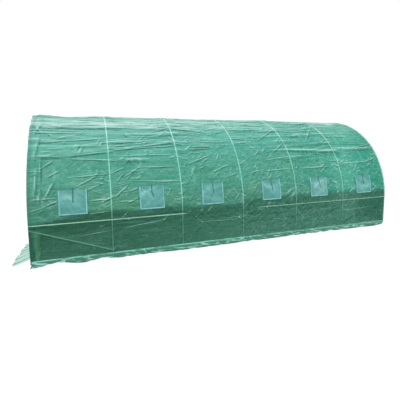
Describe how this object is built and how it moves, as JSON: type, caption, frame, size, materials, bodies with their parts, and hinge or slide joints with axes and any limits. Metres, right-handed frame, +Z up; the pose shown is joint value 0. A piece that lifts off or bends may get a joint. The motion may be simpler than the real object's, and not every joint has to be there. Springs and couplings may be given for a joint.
{
  "type": "polytunnel_greenhouse",
  "caption": "Walk-in garden polytunnel: galvanised tube hoops on straight legs under green reinforced film, with side windows, end doors and ground flaps.",
  "frame": {"origin": "on the ground, at the middle of the plan box", "axes": "+X along the tunnel towards the front doorway, +Y across it towards the right wall, +Z up"},
  "size_m": [6.3442, 3.3052, 2.0021],
  "materials": {
    "tube": "galvanised",
    "film": "translucent woven polyethylene",
    "window_film": "pale translucent polyethylene",
    "net": "fine insect net"
  },
  "bodies": {
    "root": {"hoop_1": "tube", "hoop_2": "tube", "hoop_3": "tube", "hoop_4": "tube", "hoop_5": "tube", "hoop_6": "tube", "hoop_7": "tube", "left_ground_rail": "tube", "right_ground_rail": "tube", "left_waist_rail": "tube", "right_waist_rail": "tube", "left_shoulder_rail": "tube", "right_shoulder_rail": "tube", "ridge_rail": "tube", "left_braces": "tube", "right_braces": "tube", "front_door_frame": "tube", "back_door_frame": "tube", "cover_bay_1": "film", "cover_bay_2": "film", "cover_bay_3": "film", "cover_bay_4": "film", "cover_bay_5": "film", "cover_bay_6": "film", "front_end_sheet": "film", "back_end_sheet": "film", "left_window_nets": "net", "right_window_nets": "net", "left_window_flap_1": "window_film", "right_window_flap_1": "window_film", "left_window_flap_2": "window_film", "right_window_flap_2": "window_film", "left_window_flap_3": "window_film", "right_window_flap_3": "window_film", "left_window_flap_4": "window_film", "right_window_flap_4": "window_film", "left_window_flap_5": "window_film", "right_window_flap_5": "window_film", "left_window_flap_6": "window_film", "right_window_flap_6": "window_film", "front_door_roll": "film", "back_door": "film", "right_skirt": "film", "left_skirt": "film", "back_skirts": "film"}
  },
  "joints": []
}
